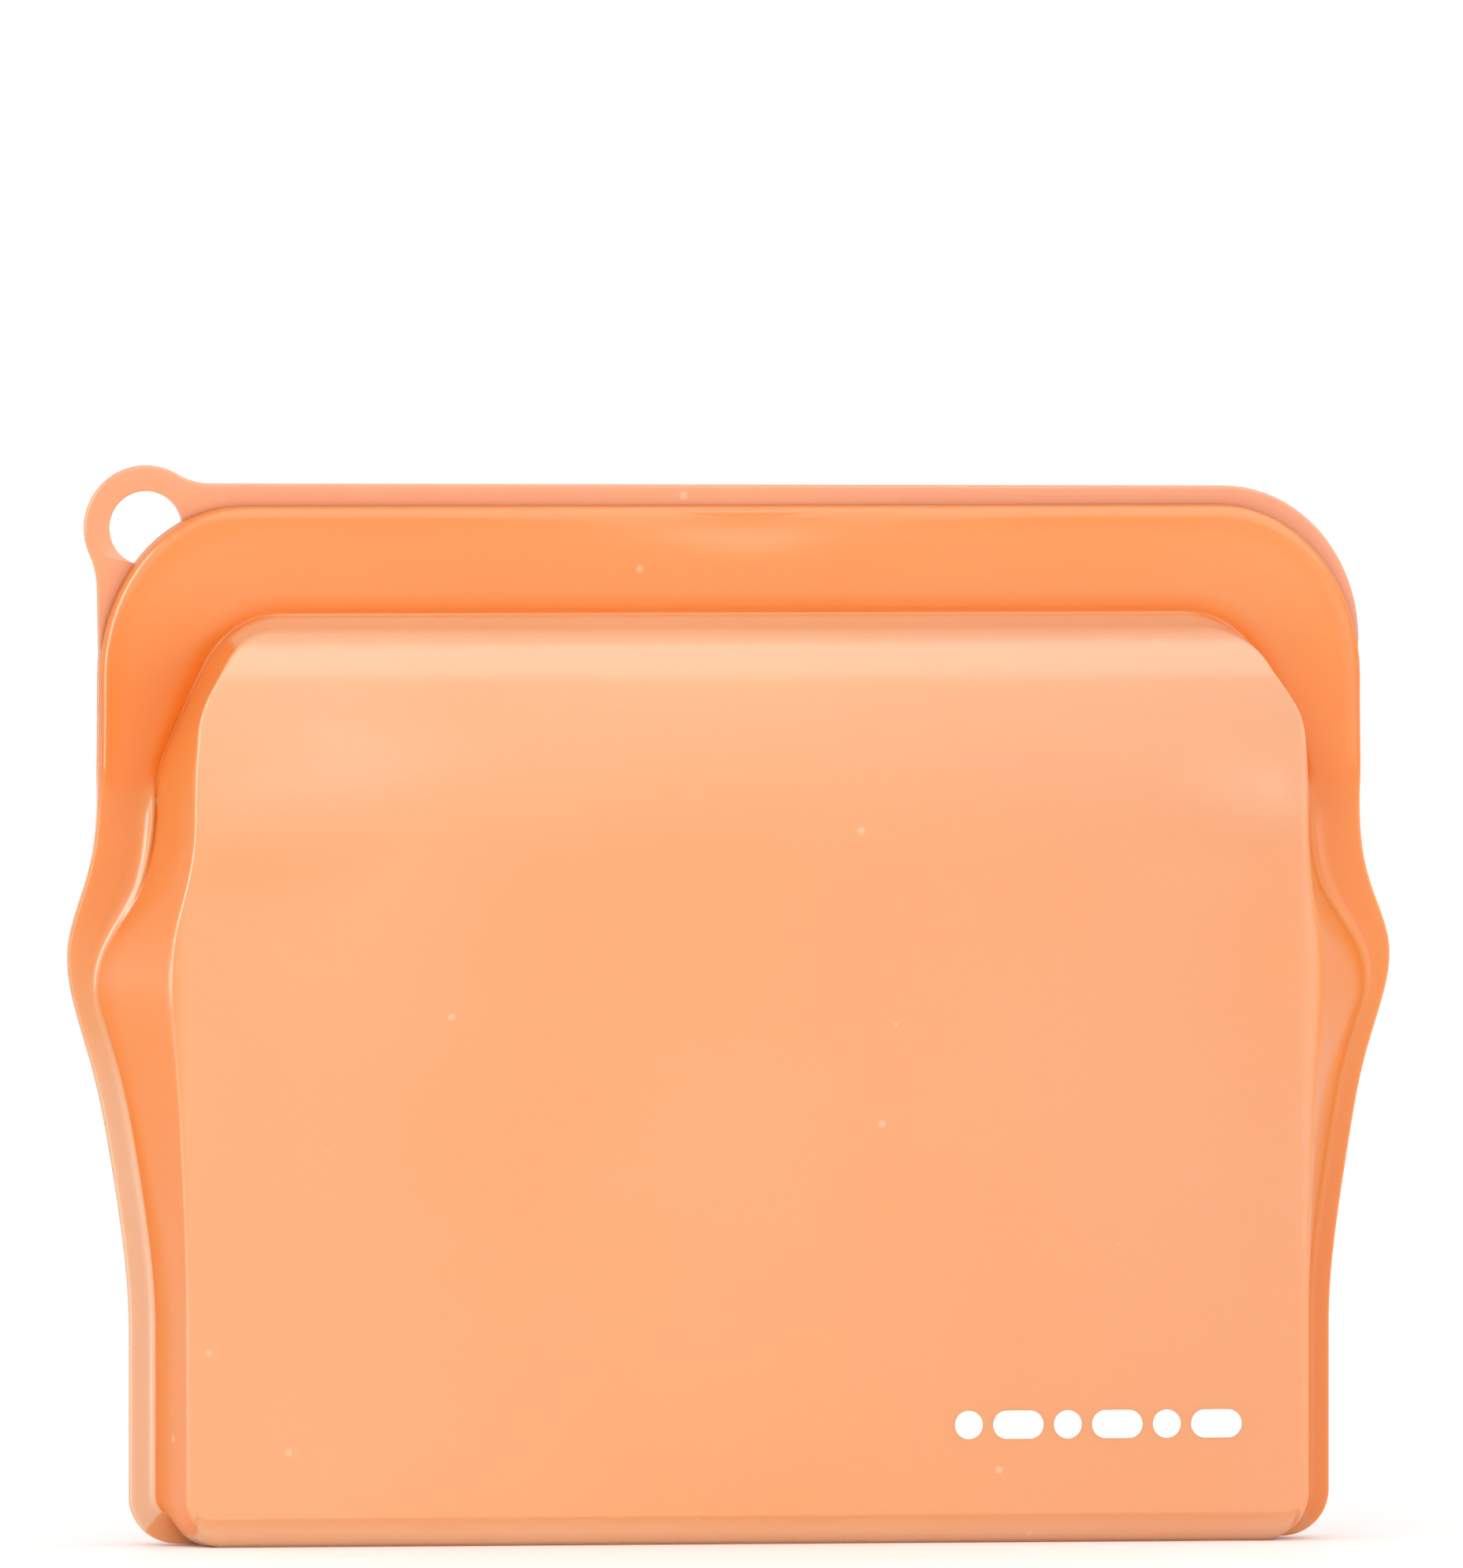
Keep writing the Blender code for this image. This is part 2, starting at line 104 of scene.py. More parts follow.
# soft dents and swellings of the panels: x, z, spread in x and z, height
reliefSpots = [
    (-0.063, 0.1165, 0.0160, 0.0050, 0.00090),
    (-0.070, 0.1070, 0.0120, 0.0040, -0.00070),
    (0.077, 0.1120, 0.0130, 0.0045, 0.00090),
    (0.070, 0.1030, 0.0150, 0.0045, -0.00060),
    (-0.030, 0.0600, 0.0450, 0.0300, 0.00035),
    (0.062, 0.0500, 0.0200, 0.0420, -0.00045),
    (0.020, 0.1230, 0.0500, 0.0050, 0.00020),
]

# painted highlight and painted shade on a panel, where its soft swellings catch the light and its dents
# lose it: x, z, spread in x and z, slope, change of tone
paintedLightAndShadeSpots = [
    (-0.062, 0.1143, 0.0170, 0.0045, 0.16, -0.24),
    (0.077, 0.1110, 0.0100, 0.0045, -0.20, -0.30),
    (0.080, 0.0850, 0.0080, 0.0200, 0.00, 0.22),
    (-0.070, 0.1020, 0.0140, 0.0050, 0.10, 0.14),
]


def pick(pair, side):
    return pair[0] if side < 0 else pair[1]


def ear(z, side):
    spread = pick(outline["earUp"] if z > outline["earHeight"] else outline["earDown"], side)
    return bump(z, outline["earHeight"], spread)


def seamEdge(z, side):
    flare = (outline["mouthHalf"] - outline["baseHalf"]) * ramp(z, *outline["flare"])
    return outline["baseHalf"] + flare + outline["earReach"] * ear(z, side)


def wallRoot(z, side):
    width = outline["seamWidth"] + outline["earSeam"] * ramp(z, *outline["earSeamRise"])
    width += outline["legSeam"] * ramp(z, *outline["legSeamRise"])
    return seamEdge(z, side) - width


def panelEdge(z, side):
    spread = shell["panelEarUp"] if z > outline["earHeight"] else shell["panelEarDown"]
    high = ramp(z, *shell["panelRise"])
    straight = mix(shell["panelLow"], pick(shell["panelTop"], side), high)
    straight += shell["panelEar"] * bump(z, outline["earHeight"], spread)
    return mix(straight, wallRoot(z, side) - shell["panelGap"], ramp(z, *shell["panelClose"]))


def underSeal(depth, z):
    # the walls rise from the seal in a long soft shoulder
    share = clamp((outline["bandInner"] - z) / shell["shoulder"])
    foot = shell["bandFoot"]
    return foot + (depth - foot) * (1.0 - (1.0 - share) ** 4) if depth > foot else depth


def panelDepth(x, z):
    across = 1.0 - clamp(abs(x) / panelEdge(z, x)) ** 2
    along = math.sin(math.pi * clamp(z / outline["bandInner"]))
    soft = 0.00022 * noise.noise(Vector((x * 22.0, 1.7, z * 30.0)))
    for spotX, spotZ, spreadX, spreadZ, height in reliefSpots:
        soft += height * bump(x, spotX, spreadX) * bump(z, spotZ, spreadZ)
    inside = ramp(panelEdge(z, x) - abs(x), 0.0, 0.012) * ramp(z, 0.0044, 0.016)
    inside *= ramp(outline["bandInner"] - z, 0.0080, 0.018)
    return underSeal(shell["depth"] + shell["crown"] * across * along + soft * inside, z)


def ringPoint(ring, edge, step):
    # steps run upwards on the left and right, and to the right on the low and high ends
    arcSteps = shell["arcSteps"]
    upright = edge in ("left", "right")
    steps = shell["sideSteps"] if upright else shell["acrossSteps"]
    share = (step - arcSteps) / steps
    near = step < arcSteps or step > arcSteps + steps
    turn = math.radians(45.0) * max(arcSteps - step, step - arcSteps - steps) / arcSteps
    end = ("low" if step < arcSteps + steps / 2 else "high") if upright else edge
    side = (-1 if edge == "left" else 1) if upright else (-1 if share < 0.5 else 1)
    radius = ring[end + "Corner"]
    upward = -1 if end == "low" else 1
    center = ring[end] - upward * radius
    if near:
        out, rise = (math.cos(turn), math.sin(turn)) if upright else (math.sin(turn), math.cos(turn))
        z = center + upward * radius * rise
        return side * (ring["side"](z, side) - radius * (1.0 - out)), z
    if upright:
        z = mix(ring["low"] + ring["lowCorner"], ring["high"] - ring["highCorner"], share)
        return side * ring["side"](z, side), z
    left = -(ring["side"](ring[edge], -1) - radius)
    return mix(left, ring["side"](ring[edge], 1) - radius, share), ring[edge]


def baseShare(edge, step):
    # how far a point takes the base's profile instead of the side's, blended over the low corners
    arcSteps = shell["arcSteps"]
    steps = shell["sideSteps"] if edge in ("left", "right") else shell["acrossSteps"]
    near = min(step, steps + 2 * arcSteps - step)
    if edge == "low":
        return 0.5 + 0.5 * ramp(near, -arcSteps, arcSteps)
    return 0.5 - 0.5 * ramp(step, -arcSteps, arcSteps) if edge in ("left", "right") else 0.0


def sideProfile(share):
    # share 0 at the seam and 1 at the panel; gives the inset and the depth
    depth, bend, start = shell["depth"], profile["bend"], profile["bendInset"]
    if share < bend:
        straight = share / bend
        return start * straight, mix(shell["root"], depth * profile["bendDepth"], straight)
    turn = (share - bend) / (1.0 - bend)
    inset = (1 - turn) ** 2 * start + 2 * turn * (1 - turn) * profile["cornerInset"]
    inset += turn ** 2 * profile["endInset"]
    return inset, depth * mix(profile["bendDepth"], 1.0, turn * (2.0 - turn))


def baseProfile(share):
    # the recess over the bottom seam, the flat that the bag stands on and a slanting lower edge
    recess, flat = profile["recess"], profile["flat"]
    if share < recess:
        fall = share / recess
        drop = outline["baseRoot"] * (1.0 - ramp(fall, 0.08, 1.0))
        return drop, mix(shell["root"], shell["restFrom"], fall)
    if share < flat:
        return 0.0, mix(shell["restFrom"], shell["restTo"], (share - recess) / (flat - recess))
    slant = (share - flat) / (1.0 - flat)
    rise = shell["baseRise"] * mix(ramp(slant, 0.0, 1.0), slant, 0.7)
    return rise, mix(shell["restTo"], shell["depth"], slant ** 0.8)


def wallRing(share):
    corner = mix(outline["rootCorner"], outline["baseCorner"], ramp(share, 0.0, profile["recess"]))
    inset = sideProfile(share)[0]

    def side(z, sign):
        return mix(wallRoot(z, sign), panelEdge(z, sign), inset)

    return {
        "side": side, "share": share, "low": baseProfile(share)[0],
        "lowCorner": mix(corner, shell["panelCorner"], ramp(share, profile["flat"], 1.0)),
        "high": outline["bandInner"] - shell["ringDrop"] * share,
        "highCorner": mix(outline["bandCorner"], shell["shoulderCorner"], share),
    }


def edgeRing(share):
    inner = wallRing(0.0)

    def side(z, sign):
        return mix(seamEdge(z, sign), inner["side"](z, sign), share)

    return {
        "side": side, "share": share, "low": mix(outline["seamFoot"], outline["baseRoot"], share),
        "lowCorner": mix(outline["baseCorner"], outline["rootCorner"], share),
        "high": mix(outline["lipTop"], outline["bandInner"], share),
        "highCorner": mix(outline["lipCorner"][0], outline["bandCorner"], share), "edge": True,
    }


def overSeal(z, run):
    # 1 where the sheet covers the seal, 0 where there is only a seam
    return 0.0 if run == "low" else ramp(z, outline["legEnd"] - 0.0070, outline["legEnd"] - 0.0004)


def stretchCorner(ring, x, z):
    # the lips' outer corners are taller than they are wide
    if "edge" not in ring:
        return x, z
    width, height = outline["lipCorner"]
    start = ring["high"] - ring["highCorner"]
    stretch = mix(height - width, 0.0, ring["share"])
    top = ring["high"]
    return x, z - stretch * ramp(z, start - 0.020, start + 0.004) * clamp((top - z) / ring["highCorner"])


# the strip from the outer edge to the wall: share of its width, depth over the seal, depth on a seam
stripRings = [
    (0.000, 0.00050, 0.00030), (0.006, 0.00140, 0.00075), (0.015, 0.00210, 0.00100),
    (0.032, 0.00265, 0.00112), (0.065, 0.00300, 0.00115), (0.130, 0.00318, 0.00115),
    (0.300, 0.00324, 0.00115), (0.450, 0.00318, 0.00115), (0.620, 0.00312, 0.00115),
    (0.720, 0.00306, 0.00118), (0.800, 0.00300, 0.00130), (0.870, 0.00290, 0.00152),
    (0.925, 0.00278, 0.00180), (0.970, 0.00266, 0.00215),
]
wallShares = [0.97, 0.94, 0.90, 0.86, 0.82, 0.78, 0.72, 0.66, 0.60, 0.49, 0.38, 0.31, 0.24, 0.17,
              0.11, 0.07, 0.035, 0.015, 0.0]


# a shallow pressed-in lens along the middle of the front lip's upper edge
dent = {"middle": 0.002, "half": 0.034, "spread": 0.024, "edge": 0.0022, "height": 0.0036,
        "depth": 0.0010}


def lipDent(x, z):
    curve = clamp(1.0 - ((x - dent["middle"]) / dent["half"]) ** 2)
    line = outline["lipTop"] - dent["edge"] - dent["height"] * curve
    return ramp(z, line - 0.0005, line + 0.0016) * bump(x, dent["middle"], dent["spread"])


# how much silicone one looks through, with painted light laid into the same values: -1 where it is
# thinnest,
# 0 in a panel, 1 over the seal and 2 in its folds. The paler values on the panel's top and left part, on
# the shoulder's crest, on the bottom's slanting edge and on the left seam are painted sheen and painted
# light, and the deep value in the fold at the seal's foot is partly a painted shadow line
layerAndLightTones = {
    "panelTop": -0.40, "panelTopSheenRise": (0.098, 0.130), "panelLeftPaintedLight": -0.12, "panelLeftPaintedLightRise": (0.020, 0.070),
    "underSeal": 1.8, "crestPaintedLight": -0.5, "baseEdgePaintedLight": -0.60, "wall": 1.25, "wallLeg": 0.60,
    "seamLeftThinAndLit": -1.0, "seamRight": 1.0, "seamNeck": 0.95, "seamBase": 0.45, "neck": (0.0980, 0.0260),
    "seal": 0.80, "legLeft": 0.75, "legRight": 0.35, "sealFold": 1.0, "sealEdge": 0.45,
}


def tone(kind, share, x, z, run):
    legs = ramp(abs(x), 0.070, 0.084) * (1.0 - ramp(z, 0.125, 0.145))
    if kind == "panel":
        # painted sheen: the panel is paler towards the seal, standing in for the overhead light's broad
        # highlight
        value = layerAndLightTones["panelTop"] * ramp(z, *layerAndLightTones["panelTopSheenRise"])
        # painted light: the panel's left part is paler, as if more lit from the left
        value += layerAndLightTones["panelLeftPaintedLight"] * ramp(-x, *layerAndLightTones["panelLeftPaintedLightRise"])
        # painted highlight and painted shade of the panel's soft swellings and dents
        for spotX, spotZ, spreadX, spreadZ, slope, change in paintedLightAndShadeSpots:
            value += change * bump(x, spotX, spreadX) * bump(z - slope * (x - spotX), spotZ, spreadZ)
        return value
    if kind == "wall" and run == "high":
        # painted light: the shoulder's crest is paled so that it reads lit from above, and the fold at the
        # seal's foot starts deep, partly as a painted shadow line under the seal
        crestPaintedLight = mix(layerAndLightTones["crestPaintedLight"], tone("panel", 1.0, x, z, run), ramp(share, 0.45, 1.0))
        return mix(layerAndLightTones["underSeal"], crestPaintedLight, ramp(share, 0.0, 0.34))
    if kind == "wall" and run == "low":
        # painted light: the downward-facing slanting edge of the bottom is paled to make up for the shade
        # it falls in
        return layerAndLightTones["baseEdgePaintedLight"] * (1.0 - ramp(share, 0.80, 0.98))
    if kind == "wall":
        inner = tone("panel", 1.0, x, z, run)
        legs *= layerAndLightTones["wallLeg"] * (1.0 - ramp(share, 0.0, 0.2))
        return mix(layerAndLightTones["wall"], inner, ramp(share, 0.74, 0.92)) + legs
    height, spread = layerAndLightTones["neck"]
    neck = bump(z, height, spread) if z < height else 1.0
    # the left seam's pale value is partly its thin silicone and partly painted light making up for the
    # shade beside the bulging panel
    seam = mix(layerAndLightTones["seamRight" if x > 0 else "seamLeftThinAndLit"], layerAndLightTones["seamNeck"], neck)
    seam = layerAndLightTones["seamBase"] if run == "low" else seam
    legs *= layerAndLightTones["legRight" if x > 0 else "legLeft"]
    folds = layerAndLightTones["sealFold"] * ramp(share, 0.80, 1.0)
    folds += layerAndLightTones["sealEdge"] * (1.0 - ramp(share, 0.06, 0.30))
    return mix(seam, layerAndLightTones["seal"] + legs + folds, ramp(overSeal(z, run), 0.55, 1.0))


def makeHalf(name, front):
    # a grid for the panel, then its border is extruded once for every ring of wall and edge strip
    sign = -1.0 if front else 1.0
    rows = shell["sideSteps"] + 2 * shell["arcSteps"]
    columns = shell["acrossSteps"] + 2 * shell["arcSteps"]
    panel = wallRing(1.0)
    bm = bmesh.new()
    tones = bm.verts.layers.float.new("layers")
    bmesh.ops.create_grid(bm, x_segments=columns, y_segments=rows, size=1.0)
    corners = {(a, b): Vector(ringPoint(panel, a, 0 if b == "low" else rows))
               for a in ("left", "right") for b in ("low", "high")}
    spots = {}
    for vert in bm.verts:
        column = round((vert.co.x + 1.0) / 2.0 * columns)
        row = round((vert.co.y + 1.0) / 2.0 * rows)
        across, along = column / columns, row / rows
        left, right = Vector(ringPoint(panel, "left", row)), Vector(ringPoint(panel, "right", row))
        low, high = Vector(ringPoint(panel, "low", column)), Vector(ringPoint(panel, "high", column))
        place = left.lerp(right, across) + low.lerp(high, along)
        place -= corners["left", "low"].lerp(corners["right", "low"], across) * (1.0 - along)
        place -= corners["left", "high"].lerp(corners["right", "high"], across) * along
        vert.co = (place[0], sign * panelDepth(*place), place[1])
        vert[tones] = tone("panel", 1.0, *place, "panel")
        if column in (0, columns):
            spots[vert] = ("left" if column == 0 else "right", row)
        elif row in (0, rows):
            spots[vert] = ("low" if row == 0 else "high", column)
    rings = [("wall", wallRing(share), 0.0, 0.0) for share in wallShares]
    rings += [("edge", edgeRing(share), seal, seam) for share, seal, seam in reversed(stripRings)]
    for kind, ring, seal, seam in rings:
        border = [edge for edge in bm.edges if edge.is_boundary]
        made = bmesh.ops.extrude_edge_only(bm, edges=border)["geom"]
        moved = {}
        for vert in (item for item in made if isinstance(item, bmesh.types.BMVert)):
            source = next(e.other_vert(vert) for e in vert.link_edges if e.other_vert(vert) in spots)
            moved[vert] = spots[source]
        for vert, (edge, step) in moved.items():
            base = baseShare(edge, step)
            x, z = stretchCorner(ring, *ringPoint(ring, edge, step))
            run = "low" if base > 0.5 else "high" if edge == "high" else "side"
            sealed = overSeal(z, run)
            if kind == "wall":
                depth = mix(sideProfile(ring["share"])[1], baseProfile(ring["share"])[1], base)
                depth = underSeal(max(depth, mix(shell["root"], shell["bandFoot"], sealed)), z)
            else:
                neck = bump(z, *shell["neck"]) if x < 0 else 0.0
                thick = seam + (seam - shell["seam"]) * neck if seam > shell["seam"] else seam
                depth = mix(thick, seal, sealed)
                if front:
                    depth -= min(dent["depth"], depth * 0.4) * lipDent(x, z) * ramp(z, 0.1400, 0.1450)
            vert.co = (x, sign * depth, z)
            vert[tones] = tone(kind, ring["share"], x, z, run)
        spots = moved
    bmesh.ops.recalc_face_normals(bm, faces=bm.faces)
    if sum(face.normal.y for face in bm.faces) * sign < 0:
        bmesh.ops.reverse_faces(bm, faces=bm.faces)
    piece = addMesh(name, bm)
    wall = piece.modifiers.new("Wall", "SOLIDIFY")
    wall.thickness = shell["wall"]
    wall.offset = -1.0
    wall.use_even_offset = False
    return piece


def addMesh(name, bm):
    mesh = bpy.data.meshes.new(name)
    bm.to_mesh(mesh)
    bm.free()
    mesh.shade_smooth()
    piece = bpy.data.objects.new(name, mesh)
    bpy.context.scene.collection.objects.link(piece)
    print(name, len(mesh.vertices), "points")
    return piece


def arc(center, radii, start, stop, steps):
    points = []
    for step in range(steps + 1):
        angle = math.radians(mix(start, stop, step / steps))
        points.append((center[0] + radii[0] * math.cos(angle), center[1] + radii[1] * math.sin(angle)))
    return points


def run(start, stop, steps):
    return [(mix(start[0], stop[0], s / steps), mix(start[1], stop[1], s / steps))
            for s in range(steps + 1)]


def band(name, outer, inner, section):
    # a bar between two edges in the XZ plane; section points are (edge, reach from it, y)
    bm = bmesh.new()
    columns, rows = len(outer) - 1, len(section)
    bmesh.ops.create_grid(bm, x_segments=columns, y_segments=rows, size=1.0)
    for vert in bm.verts:
        column = round((vert.co.x + 1.0) / 2.0 * columns)
        edge, reach, y = section[round((vert.co.y + 1.0) / 2.0 * rows) % rows]
        first, second = Vector(outer[column]), Vector(inner[column])
        across = second - first
        offset = min(reach, across.length * 0.49) if edge in (0.0, 1.0) else reach
        share = edge + (-1.0 if edge == 1.0 else 1.0) * offset / across.length
        place = first + across * share
        vert.co = (place[0], y, place[1])
    bmesh.ops.remove_doubles(bm, verts=bm.verts, dist=0.000002)
    bmesh.ops.holes_fill(bm, edges=[edge for edge in bm.edges if edge.is_boundary], sides=0)
    bmesh.ops.recalc_face_normals(bm, faces=bm.faces)
    return addMesh(name, bm)


def flatSection(low, high, edgeRound, groove=None):
    # a flat bar with rounded edges, and a groove in the middle of its high side
    soft = min(edgeRound, (high - low) * 0.5)
    points = []
    for edge in (0.0, 1.0):
        turns = [(90.0 * step / 3) for step in range(4)]
        lowSide = [(edge, soft * (1 - math.cos(math.radians(t))),
                    low + soft * (1 - math.sin(math.radians(t)))) for t in turns]
        highSide = [(e, reach, low + high - y) for e, reach, y in lowSide]
        path = lowSide[::-1] + highSide if edge == 0.0 else highSide[::-1] + lowSide
        if edge == 1.0 and groove:
            half, base = groove
            points += [(0.5, -half, high), (0.5, -half, base), (0.5, half, base), (0.5, half, high)]
        points += path
    return points


def linear(color):
    value = int(color.lstrip("#"), 16)
    channels = [((value >> shift) & 255) / 255.0 for shift in (16, 8, 0)]
    return tuple(c / 12.92 if c <= 0.04045 else ((c + 0.055) / 1.055) ** 2.4 for c in channels)


def addNode(tree, kind, settings=None, **inputs):
    node = tree.nodes.new(kind)
    for key, value in (settings or {}).items():
        setattr(node, key, value)
    for key, value in inputs.items():
        socket = node.inputs[int(key[1:]) if key[0] == "i" and key[1:].isdigit() else key.replace("_", " ")]
        if isinstance(value, bpy.types.NodeSocket):
            tree.links.new(value, socket)
        else:
            socket.default_value = value
    return node


# moulded silicone rubber: soft, satin and a little see-through; scales are patterns per metre
siliconeLook = {
    "roughness": 0.40, "ior": 1.41, "scatter": 0.4, "scatterColors": (1.0, 0.45, 0.2),
    "scatterDepth": 0.003, "sheenCoat": 0.4, "coatRoughness": 0.14,
    "cloudScale": 22.0, "cloudShift": 0.12, "rightShadeColor": "#d98f78", "rightShadeColorShare": 0.24,
    "bubbleScale": 75.0, "bubbleColor": "#ffe3cf", "bubbleShare": 0.28,
    "grainScale": 900.0, "grainStrength": 0.04, "grainHeight": 0.0002,
}


def silicone(name, colors, alpha):
    # colours run from where one looks through least silicone to where one looks through most; the palest
    # one also carries the painted sheen and painted light of the layer values
    look = siliconeLook
    material = bpy.data.materials.new(name)
    material.use_nodes = True
    tree = material.node_tree
    shader = tree.nodes["Principled BSDF"]
    place = addNode(tree, "ShaderNodeTexCoord").outputs["Object"]
    cloud = addNode(tree, "ShaderNodeTexNoise", Vector=place, Scale=look["cloudScale"],
                    Detail=2.0, Roughness=0.5)
    layers = addNode(tree, "ShaderNodeAttribute", {"attribute_name": "layers"}).outputs["Fac"]
    third = addNode(tree, "ShaderNodeMath", {"operation": "MULTIPLY_ADD"}, i0=layers, i1=1 / 3,
                    i2=1 / 3 - look["cloudShift"] / 2)
    amount = addNode(tree, "ShaderNodeMath", {"operation": "MULTIPLY_ADD", "use_clamp": True},
                     i0=cloud.outputs["Fac"], i1=look["cloudShift"], i2=third.outputs[0])
    paint = addNode(tree, "ShaderNodeValToRGB", Fac=amount.outputs[0])
    stops = paint.color_ramp.elements
    stops[1].position = 1 / 3
    stops.new(2 / 3)
    stops.new(1.0)
    for stop, color in zip(stops, colors):
        stop.color = (*linear(color), 1.0)
    # painted shade: the right side of the panels is a little darker and rosier, as if less lit
    across = addNode(tree, "ShaderNodeSeparateXYZ", Vector=place).outputs["X"]
    side = addNode(tree, "ShaderNodeMapRange", {"interpolation_type": "SMOOTHSTEP"}, Value=across,
                   From_Min=-0.02, From_Max=0.10, To_Min=0.0, To_Max=look["rightShadeColorShare"])
    thin = addNode(tree, "ShaderNodeMapRange", Value=amount.outputs[0], From_Min=0.34, From_Max=0.55,
                   To_Min=1.0, To_Max=0.0)
    share = addNode(tree, "ShaderNodeMath", {"operation": "MULTIPLY"}, i0=side.outputs[0],
                    i1=thin.outputs[0])
    rightShaded = addNode(tree, "ShaderNodeMix", {"data_type": "RGBA"}, i0=share.outputs[0],
                   i6=paint.outputs[0], i7=(*linear(look["rightShadeColor"]), 1.0))
    # mould grain, some 0.1 mm in the real thing, drawn at about 1 mm so that it shows
    grain = addNode(tree, "ShaderNodeTexNoise", Vector=place, Scale=look["grainScale"], Detail=2.0)
    # a few tiny bubbles near the surface
    cells = addNode(tree, "ShaderNodeTexVoronoi", Vector=place, Scale=look["bubbleScale"],
                    Randomness=1.0)
    bubble = addNode(tree, "ShaderNodeMapRange", Value=cells.outputs["Distance"], From_Min=0.030,
                     From_Max=0.055, To_Min=look["bubbleShare"], To_Max=0.0)
    flecked = addNode(tree, "ShaderNodeMix", {"data_type": "RGBA"}, i0=bubble.outputs[0],
                      i6=rightShaded.outputs[2], i7=(*linear(look["bubbleColor"]), 1.0))
    dimple = addNode(tree, "ShaderNodeBump", Height=grain.outputs["Fac"],
                     Strength=look["grainStrength"], Distance=look["grainHeight"])
    tree.links.new(flecked.outputs[2], shader.inputs["Base Color"])
    tree.links.new(dimple.outputs[0], shader.inputs["Normal"])
    shader.inputs["Roughness"].default_value = look["roughness"]
    shader.inputs["IOR"].default_value = look["ior"]
    shader.inputs["Subsurface Weight"].default_value = look["scatter"]
    shader.inputs["Subsurface Radius"].default_value = look["scatterColors"]
    shader.inputs["Subsurface Scale"].default_value = look["scatterDepth"]
    shader.inputs["Coat Weight"].default_value = look["sheenCoat"]
    shader.inputs["Coat Roughness"].default_value = look["coatRoughness"]
    shader.inputs["Alpha"].default_value = alpha
    return material


def ink(name, color):
    # white silicone printing ink
    material = bpy.data.materials.new(name)
    material.use_nodes = True
    shader = material.node_tree.nodes["Principled BSDF"]
    shader.inputs["Base Color"].default_value = (*linear(color), 1.0)
    shader.inputs["Roughness"].default_value = 0.55
    return material


def dress(piece, material, slot, *nodes):
    piece.data.materials.append(material)
    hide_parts(*nodes)


bodySilicone = silicone("bodySilicone", ("#f8bf9a", "#f3a56e", "#f59045", "#f87f18"), 0.86)
sealSilicone = silicone("sealSilicone", ["#fb8a3e"] * 4, 0.92)
rimSilicone = silicone("rimSilicone", ["#ee9d69"] * 4, 0.80)
printInk = ink("printInk", "#ffffff")
print("silicone and ink mixed")


def foldWith(piece):
    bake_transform(piece)


for word, front in (("front", True), ("back", False)):
    half = makeHalf(word + "Half", front)
    dress(half, bodySilicone, "body_silicone", f"{word}_shell", f"{word}_crease", f"{word}_lip_panel")
    foldWith(half)

# bonded seams, thin films between the two halves
film = 0.00014
seamTop = 0.1020
for name, sign in (("leftSeam", -1), ("rightSeam", 1)):
    heights = [mix(outline["baseCorner"] + 0.0002, seamTop, step / 60) for step in range(61)]
    outer = [(sign * (seamEdge(z, sign) - 0.00004), z) for z in heights]
    inner = [(sign * (wallRoot(z, sign) + 0.0006), z) for z in heights]
    seam = band(name, outer, inner, flatSection(-film, film, film * 0.6))
    dress(seam, bodySilicone, "body_silicone", "left_seam" if sign < 0 else "right_seam")
    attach(seam, "bag_body")
reach = outline["baseHalf"] - outline["baseCorner"]
lowEdge, highEdge = [], []
for path, radius, foot in ((lowEdge, outline["baseCorner"], outline["seamFoot"]),
                           (highEdge, outline["rootCorner"] - 0.0002, outline["baseRoot"] - 0.0006)):
    path += arc((-reach, foot + radius), (radius, radius), 180, 270, 10)
    path += run((-reach, foot), (reach, foot), 30)[1:-1]
    path += arc((reach, foot + radius), (radius, radius), 270, 360, 10)
seam = band("bottomSeam", lowEdge, highEdge, flatSection(-film, film, film * 0.6))
dress(seam, bodySilicone, "body_silicone", "bottom_seam")
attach(seam, "bag_body")

# seal bands inside the lips, with the rib on the back one and its track in the front one
seal = {
    "inset": 0.0006, "front": -0.00215, "back": 0.00215, "face": 0.0003,
    "edgeRound": 0.0006,
    "track": (0.0014, -0.0019), "ribHalf": 0.0008, "ribTip": -0.0016,
    "arcSteps": 20, "runSteps": 36, "legSteps": 10,
}


def sealEdges():
    top, half, corner = outline["lipTop"], outline["mouthHalf"], outline["lipCorner"]
    inset, foot = seal["inset"], outline["legEnd"]
    outer, inner = [], []
    centerX, centerZ = half - corner[0], top - corner[1]
    innerHalf = wallRoot(outline["bandInner"] - outline["bandCorner"], 1)
    bend = outline["bandCorner"]
    innerX, innerZ = innerHalf - bend, outline["bandInner"] - bend
    for sign in (-1, 1):
        legs = [mix(foot, centerZ, s / seal["legSteps"]) for s in range(seal["legSteps"])]
        side = [(sign * (half - inset), z) for z in legs]
        side += [(sign * x, z) for x, z in arc((centerX, centerZ), (corner[0] - inset,
                 corner[1] - inset), 0, 90, seal["arcSteps"])]
        legs = [mix(foot, innerZ, s / seal["legSteps"]) for s in range(seal["legSteps"])]
        near = [(sign * (wallRoot(z, sign) + 0.0004), z) for z in legs]
        near += [(sign * x, z) for x, z in arc((innerX, innerZ), (bend + 0.0004, bend + 0.0004),
                 0, 90, seal["arcSteps"])]
        if sign < 0:
            outer, inner = side, near
            continue
        outer += run(outer[-1], side[-1], seal["runSteps"])[1:-1] + side[::-1]
        inner += run(inner[-1], near[-1], seal["runSteps"])[1:-1] + near[::-1]
    return outer, inner


